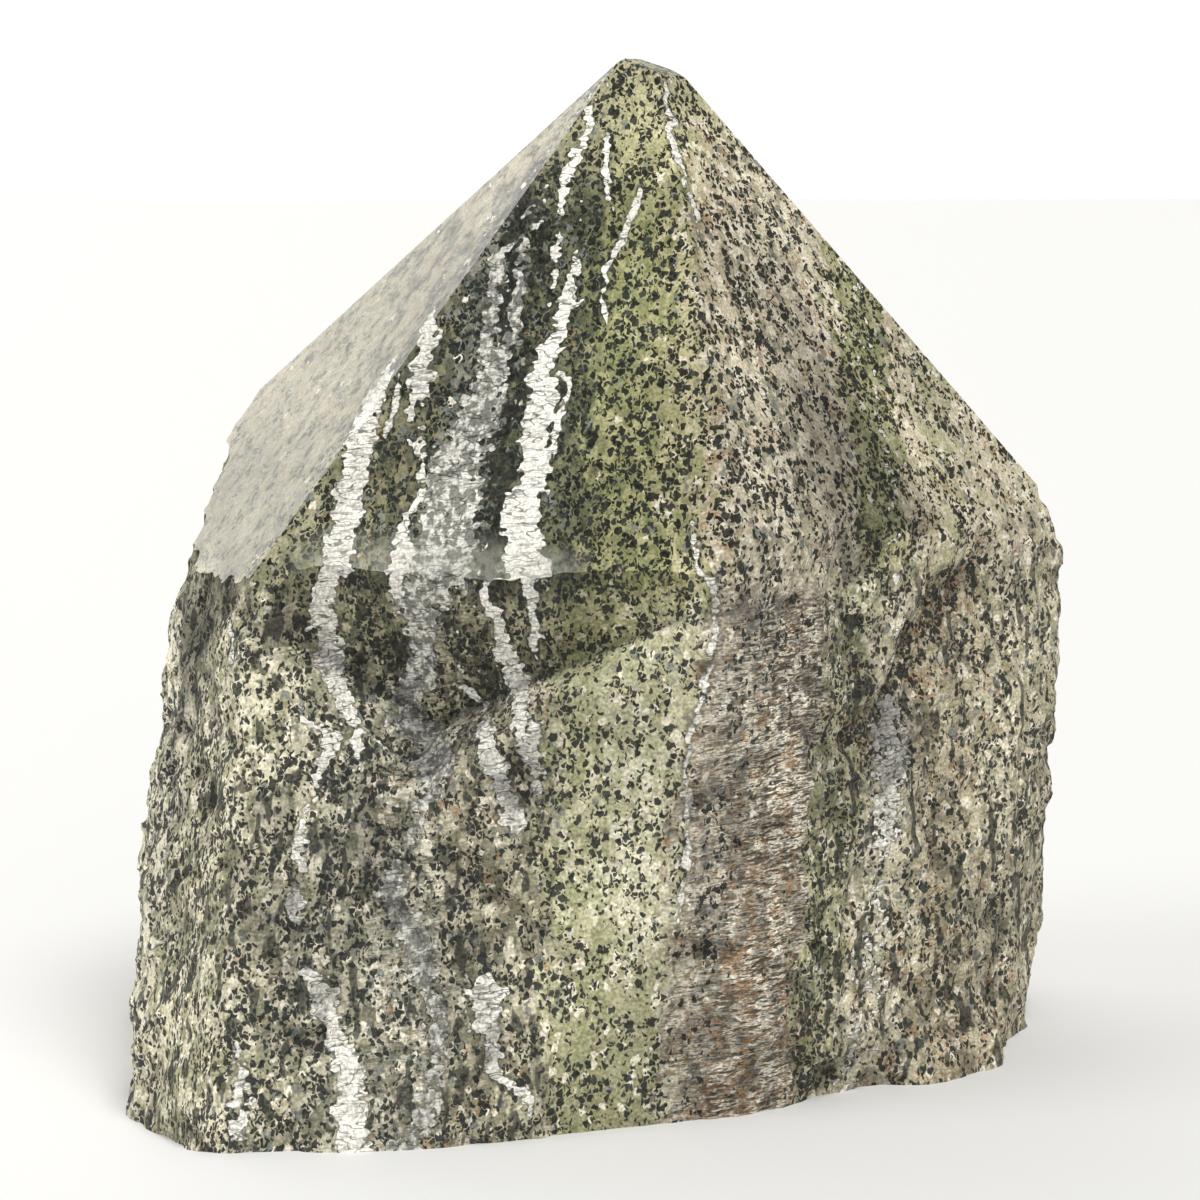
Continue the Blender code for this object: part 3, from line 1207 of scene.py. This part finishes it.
    def lay_ground(self, sheet: Sheet, spot: Spot, makeup: Makeup, clouds: Socket) -> Socket:
        """Return the ground: patches of two tones, and fibres across the rusty bands.

        Args:
            sheet: The material's nodes.
            spot: The point.
            makeup: What the bands hold there.
            clouds: The noise that parts the two tones.

        Returns:
            The ground's tone.
        """
        band, height = spot.band, spot.height
        tone = sheet.mix(sheet.rise(clouds, 0.46, 0.54), makeup.ground, makeup.patch)
        lush = sheet.line(
            height, ((0.0, 0.9), (15.0, 0.7), (21.0, 0.0), (33.0, 0.0), (41.0, 0.55), (48.0, 0.4))
        )
        slab = sheet.times(sheet.rise(band, -6.0, -2.0), sheet.rise(band, 8.0, 11.0, 1.0, 0.0))
        tone = sheet.mix(sheet.times(lush, slab, spot.body), tone, self.moss)
        tone = sheet.mix(sheet.rise(height, 84.0, 97.0, 0.0, 0.5), tone, self.straw)
        fibre_tone, _ = sheet.ramp(sheet.grain(spot.thread, self.fibres), self.fibre_tones)
        bruise = sheet.rise(sheet.grain(spot.place, self.bruises), 0.38, 0.56, 0.45, 1.12)
        bruise = sheet.times(bruise, sheet.rise(height, 6.0, 22.0, 0.84, 1.0))
        return sheet.mix(sheet.times(makeup.fibre, 0.97), tone, sheet.scale(fibre_tone, bruise))

    def add_crystals(self, sheet: Sheet, spot: Spot, makeup: Makeup, tone: Socket) -> Socket:
        """Return the tone with its crystals, rust seams, black specks and clefts of painted shade.

        Args:
            sheet: The material's nodes.
            spot: The point.
            makeup: What the bands hold there.
            tone: The ground's tone.

        Returns:
            The tone so far.
        """
        squeeze = sheet.rise(spot.across, -43.0, -34.0, 0.35, 1.0)
        squeezed = sheet.join(spot.across, sheet.times(spot.along, squeeze), spot.up)
        rough = sheet.stir(spot.place, self.tremble, 0.75, squeezed)
        drift = sheet.rise(sheet.grain(spot.place, self.drift), 0.32, 0.68, 0.4, 1.6)
        gap, red, green, blue = sheet.crystals(rough, self.crystals)
        softened = sheet.rise(gap, 0.62, 0.5)
        for chance, share, tint, cover in (
            (green, makeup.slate, self.slate, 0.75),
            (blue, sheet.times(makeup.pale, 1.5), self.cream, 0.85),
            (red, sheet.times(makeup.rust, makeup.free, 0.3), self.rust, 0.6),
        ):
            room = sheet.tune(share, 1.3, sheet.times(chance, -1.0))
            tone = sheet.mix(sheet.times(sheet.rise(room, 0.0, 0.04, 0.0, cover), softened), tone, tint)
        width = sheet.times(makeup.rust, 0.08, drift)
        seam = sheet.calc("SUBTRACT", width, sheet.crest(spot.thread, self.seams))
        tone = sheet.mix(sheet.rise(seam, -0.01, 0.015, 0.0, 0.65), tone, self.rust)
        for grain, gain in self.specks:
            gap, red, green, blue = sheet.crystals(rough, grain)
            room = sheet.calc("SUBTRACT", sheet.times(makeup.dark, gain, drift), red)
            shape = sheet.calc("SUBTRACT", sheet.tune(blue, 0.34, 0.28), gap)
            speck = sheet.times(sheet.rise(room, 0.0, 0.03), sheet.rise(shape, -0.04, 0.05), 0.95)
            tone = sheet.mix(speck, tone, sheet.mix(sheet.rise(green, 0.45, 0.95), self.black, self.soot))
        # Painted shade: near-black clefts in the broken faces on the left and the right of the body
        torn = sheet.rise(spot.band, -7.0, -2.0, 1.0, 0.0)
        torn = sheet.calc("ADD", torn, sheet.rise(spot.band, 23.0, 25.0))
        clefts = sheet.rise(sheet.grain(spot.place, self.clefts), 0.585, 0.64, 0.0, 0.8)
        return sheet.mix(sheet.times(clefts, torn, spot.body), tone, self.cleft_shade)

    def vein_mask(self, sheet: Sheet, vein: Vein, spot: Spot, fray: Socket) -> tuple[Socket, Socket]:
        """Return how much of a vein covers a point.

        Args:
            sheet: The material's nodes.
            vein: The vein.
            spot: The point.
            fray: Noise about zero that frays the edges.

        Returns:
            The vein's mask, and that of the dark rim along it.
        """
        middle = sheet.line(spot.height, [(level, side) for level, side, _ in vein.path])
        half = sheet.line(spot.height, [(level, width) for level, _, width in vein.path])
        away = sheet.calc("ABSOLUTE", sheet.calc("SUBTRACT", spot.band, middle))
        inside = sheet.calc("SUBTRACT", half, sheet.tune(fray, vein.ragged, away))
        return sheet.rise(inside, -0.06, 0.08), sheet.rise(inside, -0.6, -0.1, 0.0, 0.5)

    def add_veins(self, sheet: Sheet, spot: Spot, mottle: Socket, tone: Socket) -> Socket:
        """Return the tone with veins of pale fibre, cracked across and netted with dark lines.

        Args:
            sheet: The material's nodes.
            spot: The point.
            mottle: The noise that clouds the grey veins.
            tone: The tone so far.

        Returns:
            The tone with the veins.
        """
        fray = sheet.tune(sheet.grain(spot.thread, self.fray), 6.4, -3.2)
        cracks = sheet.times(
            sheet.rise(sheet.crest(spot.thread, self.breaks), 0.008, 0.026, 0.25, 1.0),
            sheet.rise(sheet.crest(spot.place, self.net), 0.003, 0.014, 0.65, 1.0),
        )
        pure = sheet.rise(sheet.grain(spot.thread, self.cross), 0.36, 0.48, 0.5, 1.0)
        cloudy = sheet.times(sheet.rise(mottle, 0.44, 0.56, 0.12, 0.9), pure)
        rims: Value = 0.0
        masks: dict[bool, Value] = {False: 0.0, True: 0.0}
        for vein in VEINS:
            mask, rim = self.vein_mask(sheet, vein, spot, fray)
            rims = sheet.calc("MAXIMUM", rims, rim)
            masks[vein.white] = sheet.calc("MAXIMUM", masks[vein.white], mask)
        tone = sheet.mix(rims, tone, self.crack)
        for white, clean, cover in ((False, cloudy, 0.8), (True, pure, 0.97)):
            tint = sheet.mix(cracks, self.crack, sheet.mix(clean, self.ash, self.white))
            tone = sheet.mix(sheet.times(masks[white], cover), tone, tint)
        return tone

    def weather(self, sheet: Sheet, spot: Spot, clouds: Socket, mottle: Socket, tone: Socket) -> Socket:
        """Return the tone with the left facet paled as painted reflected haze, slow and fine changes, and a
        painted grey sheen.

        Args:
            sheet: The material's nodes.
            spot: The point.
            clouds: The noise that parts the ground's two tones.
            mottle: The noise that breaks up the painted sheen.
            tone: The tone so far.

        Returns:
            The weathered tone.
        """
        # Painted reflection: the polished left facet, behind the front facet's plane, is paled towards the
        # tone of the haze that it reflects
        reach = FRONT_FACET.normal.dot(Vector(FRONT_FACET.point))
        behind = sheet.calc("SUBTRACT", sheet.vector("DOT_PRODUCT", spot.place, FRONT_FACET.normal), reach)
        behind = sheet.times(sheet.rise(behind, -3.5, -0.2, 1.0, 0.0), spot.polish)
        behind = sheet.times(behind, sheet.rise(spot.across, 1.0, 5.0, 1.0, 0.0))
        tone = sheet.mix(sheet.times(behind, sheet.rise(clouds, 0.4, 0.58, 0.15, 0.85)), tone, self.painted_haze)
        slow = sheet.rise(sheet.grain(spot.place, self.slow), 0.3, 0.7, 0.88, 1.16)
        fine = sheet.rise(sheet.grain(spot.place, self.fine), 0.3, 0.7, 0.78, 1.16)
        tone = sheet.scale(tone, sheet.times(slow, fine))
        # Painted sheen: a grey haze along the lower edge of the front facet, where its polish catches the
        # light
        painted_sheen = sheet.times(
            sheet.rise(spot.height, 53.2, 56.0, 0.38, 0.0),
            sheet.rise(spot.band, -5.0, 0.0, 1.0, 0.0),
            sheet.rise(spot.band, -34.0, -30.0),
            spot.polish,
            sheet.rise(mottle, 0.36, 0.6, 0.45, 1.15),
        )
        return sheet.mix(painted_sheen, tone, self.painted_sheen)

    def material(self) -> bpy.types.Material:
        """Return the finish as a material.

        Returns:
            The material, which reads the piece's own coordinates and attributes.
        """
        material = bpy.data.materials.new("banded_stone")
        sheet = Sheet(material)
        spot = self.find_spot(sheet)
        makeup = self.find_makeup(sheet, spot)
        clouds = sheet.grain(spot.place, self.clouds)
        mottle = sheet.grain(spot.place, self.mottle)
        tone = self.lay_ground(sheet, spot, makeup, clouds)
        tone = self.add_crystals(sheet, spot, makeup, tone)

        # Painted shade under the overhanging brow, darkest in the crease below it, with a greener tint
        # there
        brow_shade_mask = sheet.times(
            spot.crown, sheet.rise(spot.band, 7.0, 11.0, 1.0, 0.0), sheet.calc("SUBTRACT", 1.0, spot.polish)
        )
        crease_shade = sheet.times(brow_shade_mask, sheet.calc("SUBTRACT", 1.0, spot.crown))
        shade = sheet.tune(sheet.rise(spot.band, -6.0, 4.0, 1.0, 0.6), -0.5, 0.06)
        shade = sheet.tune(brow_shade_mask, shade, 1.0)
        brow_green_and_shade = sheet.tune(brow_shade_mask, -0.12, 1.0)
        tone = sheet.vector("MULTIPLY", tone, sheet.join(shade, shade, sheet.times(shade, brow_green_and_shade)))
        tone = self.add_veins(sheet, spot, mottle, tone)
        tone = self.weather(sheet, spot, clouds, mottle, tone)

        # Painted shade: darker in the hollows of the broken faces, in the stained recess, in the crease
        # under the brow and under the brow itself
        hollow_shade = sheet.times(sheet.rise(spot.hollow, 0.15, 1.2, 1.0, 0.45), sheet.tune(spot.stain_and_shade, -0.3, 1.0))
        hollow_shade = sheet.times(hollow_shade, sheet.tune(crease_shade, -2.2, 1.0, clamp=True), brow_green_and_shade)
        shader = sheet.add("BsdfPrincipled")
        sheet.feed(shader.inputs["Base Color"], sheet.scale(tone, hollow_shade))
        gloss = sheet.rise(sheet.grain(spot.place, self.smears), 0.3, 0.7, 0.2, 0.34)
        sheet.feed(shader.inputs["Roughness"], sheet.blend(spot.polish, self.broken_roughness, gloss))
        shader.inputs["IOR"].default_value = self.refraction
        sheet.feed(shader.inputs["Normal"], self.relief(sheet, spot, makeup.fibre))
        sheet.finish(shader)
        return material

    def relief(self, sheet: Sheet, spot: Spot, fibre: Socket) -> Socket:
        """Return the surface's fine grain, open where the stone is broken.

        Args:
            sheet: The material's nodes.
            spot: The point.
            fibre: How fibrous the band is.

        Returns:
            The bumped normal.
        """
        broken = sheet.tune(spot.polish, -0.96, 1.0)
        grains = sheet.bump(broken, sheet.grain(spot.place, self.grit), self.grit_depth_m)
        ridges = sheet.grain(spot.thread, self.ridges)
        return sheet.bump(sheet.times(broken, fibre), ridges, self.ridge_depth_m, grains)


@dataclass
class Studio:
    """The pale floor, the soft lights and the camera."""

    elevation: float = 8.0
    distance: float = 360.0
    focal: float = 108.0
    target: Triple = (0.0, -2.9, 46.25)
    sensor: float = 36.0
    floor_size_m: float = 6.0
    floor_tint: Colour = (0.82, 0.82, 0.81)
    floor_roughness: float = 0.7
    backdrop_tint: Colour = (1.0, 0.985, 0.955)
    ambient: float = 0.55
    backdrop: float = 1.1
    # Each side of the surroundings that is darker or brighter: its direction, the cosines at its outer
    # and inner edges, and how much brighter it is
    sides: tuple[tuple[Triple, tuple[float, float], float], ...] = (
        ((-0.396, -0.477, 0.785), (0.72, 0.94), -0.44),
        ((0.826, 0.323, 0.46), (0.72, 0.94), -0.385),
        ((-0.559, 0.748, 0.358), (0.7, 0.97), 1.15),
    )

    def floor(self) -> bpy.types.Object:
        """Return the plain floor that the stone stands on."""
        material = bpy.data.materials.new("pale_floor")
        sheet = Sheet(material)
        shader = sheet.add("BsdfPrincipled")
        sheet.feed(shader.inputs["Base Color"], self.floor_tint)
        shader.inputs["Roughness"].default_value = self.floor_roughness
        sheet.finish(shader)
        plane = bmesh.new()
        bmesh.ops.create_grid(plane, x_segments=1, y_segments=1, size=self.floor_size_m / 2.0)
        mesh = bpy.data.meshes.new("floor")
        plane.to_mesh(mesh)
        plane.free()
        mesh.materials.append(material)
        floor = bpy.data.objects.new("floor", mesh)
        bpy.context.scene.collection.objects.link(floor)
        return floor

    def light(self, name: str, side: Vector, strength: float, softness: float) -> None:
        """Add one soft, even light.

        Args:
            name: The light's name.
            side: The side that it comes from.
            strength: Its strength in watts per square metre.
            softness: The angle that it spans, in degrees.
        """
        lamp = bpy.data.lights.new(name, "SUN")
        lamp.energy = strength
        lamp.angle = math.radians(softness)
        item = bpy.data.objects.new(name, lamp)
        item.rotation_euler = (-side).to_track_quat("-Z", "Y").to_euler()
        bpy.context.scene.collection.objects.link(item)

    def lights(self) -> None:
        """Light the stage softly, most of all from the upper left, before a white background."""
        world = bpy.data.worlds.new("studio")
        bpy.context.scene.world = world
        sheet = Sheet(world)
        way = sheet.add("TexCoord").outputs["Generated"]
        strength: Value = self.ambient
        for middle, (outer, inner), gain in self.sides:
            towards = sheet.vector("DOT_PRODUCT", way, Vector(middle).normalized())
            strength = sheet.calc("ADD", sheet.rise(towards, outer, inner, 0.0, gain), strength)
        seen = sheet.add("LightPath").outputs["Is Camera Ray"]
        background = sheet.add("Background")
        sheet.feed(background.inputs["Color"], self.backdrop_tint)
        sheet.feed(background.inputs["Strength"], sheet.blend(seen, strength, self.backdrop))
        sheet.finish(background, "OutputWorld")
        self.light("key", Vector((0.26, -0.36, 1.0)), 1.75, 28.0)
        self.light("side", Vector((-0.95, -0.35, 0.5)), 1.0, 30.0)
        self.light("front", Vector((0.1, -1.2, 0.25)), 0.6, 50.0)

    def camera(self) -> None:
        """Place the camera at the photograph's viewing angle."""
        view = bpy.data.cameras.new("camera")
        view.sensor_width = self.sensor
        view.lens = self.focal
        view.clip_start = 0.01
        view.clip_end = 50.0
        lift = math.radians(self.elevation)
        back = Vector((0.0, -math.cos(lift), math.sin(lift)))
        item = bpy.data.objects.new("camera", view)
        item.location = (Vector(self.target) + back * self.distance) * METRES
        item.rotation_euler = (-back).to_track_quat("-Z", "Y").to_euler()
        bpy.context.scene.collection.objects.link(item)
        bpy.context.scene.camera = item

    def build(self) -> None:
        """Set the stage."""
        self.floor()
        self.lights()
        self.camera()
        bpy.context.scene.view_settings.view_transform = "Standard"


def main() -> None:
    """Build the stone and the stage around it."""
    logging.basicConfig(level=logging.INFO, format="%(name)s: %(message)s")
    stone = StonePoint().build()
    LOG.info("%s: %d faces", stone.name, len(stone.data.polygons))
    Studio().build()
    LOG.info("stage: floor, lights and camera")


if __name__ == "__main__":
    main()
